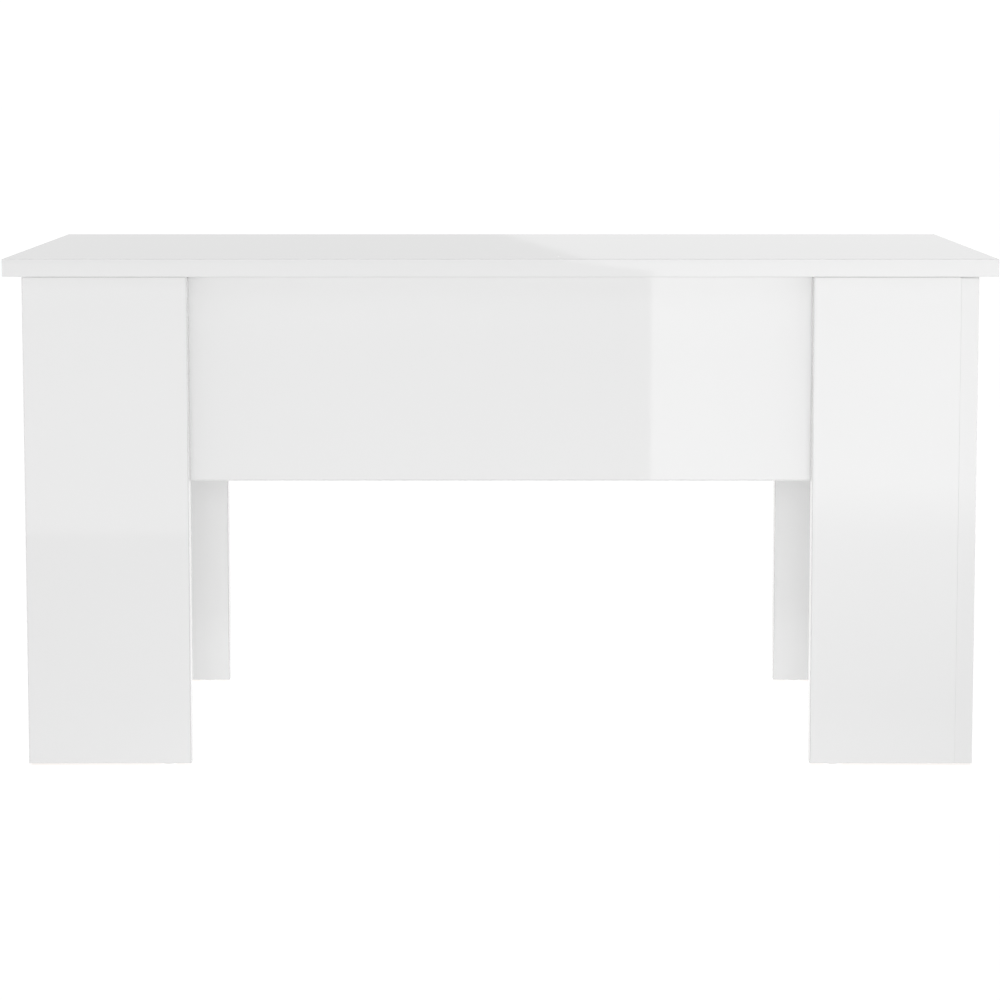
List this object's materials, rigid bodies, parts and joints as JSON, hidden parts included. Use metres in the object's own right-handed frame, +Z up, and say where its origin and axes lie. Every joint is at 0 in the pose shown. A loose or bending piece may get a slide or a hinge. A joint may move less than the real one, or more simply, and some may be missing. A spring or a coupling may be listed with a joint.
{
  "type": "lift top coffee table",
  "caption": "White high-gloss coffee table on wide L-shaped legs, with a top that lifts up and forward over a hidden storage box.",
  "frame": {"origin": "on the floor, under the middle of the closed table", "axes": "+X along the table's width, to the right of someone who faces its front; +Y from the front to the back; +Z up"},
  "size_m": [1.01, 0.49, 0.524],
  "materials": {
    "gloss_board": "gloss",
    "edge_band": "gloss",
    "black_steel": "satin",
    "zinc_steel": "satin",
    "spring_steel": "satin",
    "white_plastic": "satin",
    "pad_rubber": "satin",
    "beech": "matte"
  },
  "bodies": {
    "root": {"leg_front_left_face": "gloss_board", "leg_front_left_side": "gloss_board", "leg_front_right_face": "gloss_board", "leg_front_right_side": "gloss_board", "leg_back_left_face": "gloss_board", "leg_back_left_side": "gloss_board", "leg_back_right_face": "gloss_board", "leg_back_right_side": "gloss_board", "leg_edge_bands": "edge_band", "floor_glides": "white_plastic", "rubber_pads": "pad_rubber", "box_front": "gloss_board", "box_back": "gloss_board", "box_left": "gloss_board", "box_right": "gloss_board", "box_floor": "gloss_board", "box_edge_bands": "edge_band", "cam_locks": "zinc_steel", "cam_bolts": "zinc_steel", "cam_covers": "white_plastic", "wood_dowels": "beech", "leg_screws": "zinc_steel", "base_plate_left": "black_steel", "base_plate_right": "black_steel", "base_pins_left": "zinc_steel", "base_pins_right": "zinc_steel", "base_washers": "white_plastic", "base_screws": "zinc_steel", "stop_stud_left": "zinc_steel", "stop_stud_right": "zinc_steel", "spring_anchor_left": "zinc_steel", "spring_anchor_right": "zinc_steel"},
    "lid": {"lift_top": "gloss_board", "top_edge_band": "edge_band", "top_bracket_left": "black_steel", "top_bracket_right": "black_steel", "top_pins_left": "zinc_steel", "top_pins_right": "zinc_steel", "top_washers": "white_plastic", "top_screws": "zinc_steel"},
    "rear_arm_left": {"rear_arm_left": "black_steel", "spring_post_left": "zinc_steel"},
    "rear_arm_right": {"rear_arm_right": "black_steel", "spring_post_right": "zinc_steel"},
    "front_arm_left": {"front_arm_left": "black_steel"},
    "front_arm_right": {"front_arm_right": "black_steel"},
    "spring_left": {"spring_left": "spring_steel"},
    "spring_right": {"spring_right": "spring_steel"}
  },
  "joints": [
    {"name": "lift", "type": "hinge", "parent": "root", "child": "rear_arm_left", "pos_m": [-0.4449, -0.054, 0.417], "axis": [1, 0, 0], "range_deg": [0, 95]},
    {"name": "rear_arm_right_pivot", "type": "hinge", "parent": "root", "child": "rear_arm_right", "pos_m": [0.4449, -0.054, 0.417], "axis": [1, 0, 0], "range_deg": [0, 95]},
    {"name": "front_arm_left_pivot", "type": "hinge", "parent": "root", "child": "front_arm_left", "pos_m": [-0.4449, -0.12651, 0.45081], "axis": [1, 0, 0], "range_deg": [0, 95]},
    {"name": "front_arm_right_pivot", "type": "hinge", "parent": "root", "child": "front_arm_right", "pos_m": [0.4449, -0.12651, 0.45081], "axis": [1, 0, 0], "range_deg": [0, 95]},
    {"name": "top_level", "type": "hinge", "parent": "rear_arm_left", "child": "lid", "pos_m": [-0.4449, 0.17251, 0.45694], "axis": [1, 0, 0], "range_deg": [-95, 0]},
    {"name": "spring_left_swing", "type": "hinge", "parent": "root", "child": "spring_left", "pos_m": [-0.434, 0.11987, 0.37041], "axis": [1, 0, 0], "range_deg": [0, 3.68], "deforming": ["spring_left"]},
    {"name": "spring_right_swing", "type": "hinge", "parent": "root", "child": "spring_right", "pos_m": [0.434, 0.11987, 0.37041], "axis": [1, 0, 0], "range_deg": [0, 3.68], "deforming": ["spring_right"]}
  ],
  "couplings": [
    {"joint": "rear_arm_right_pivot", "follows": "lift", "ratio": 1},
    {"joint": "front_arm_left_pivot", "follows": "lift", "ratio": 1},
    {"joint": "front_arm_right_pivot", "follows": "lift", "ratio": 1},
    {"joint": "top_level", "follows": "lift", "ratio": -1},
    {"joint": "spring_left_swing", "follows": "lift", "ratio": 0.03872},
    {"joint": "spring_right_swing", "follows": "lift", "ratio": 0.03872}
  ]
}
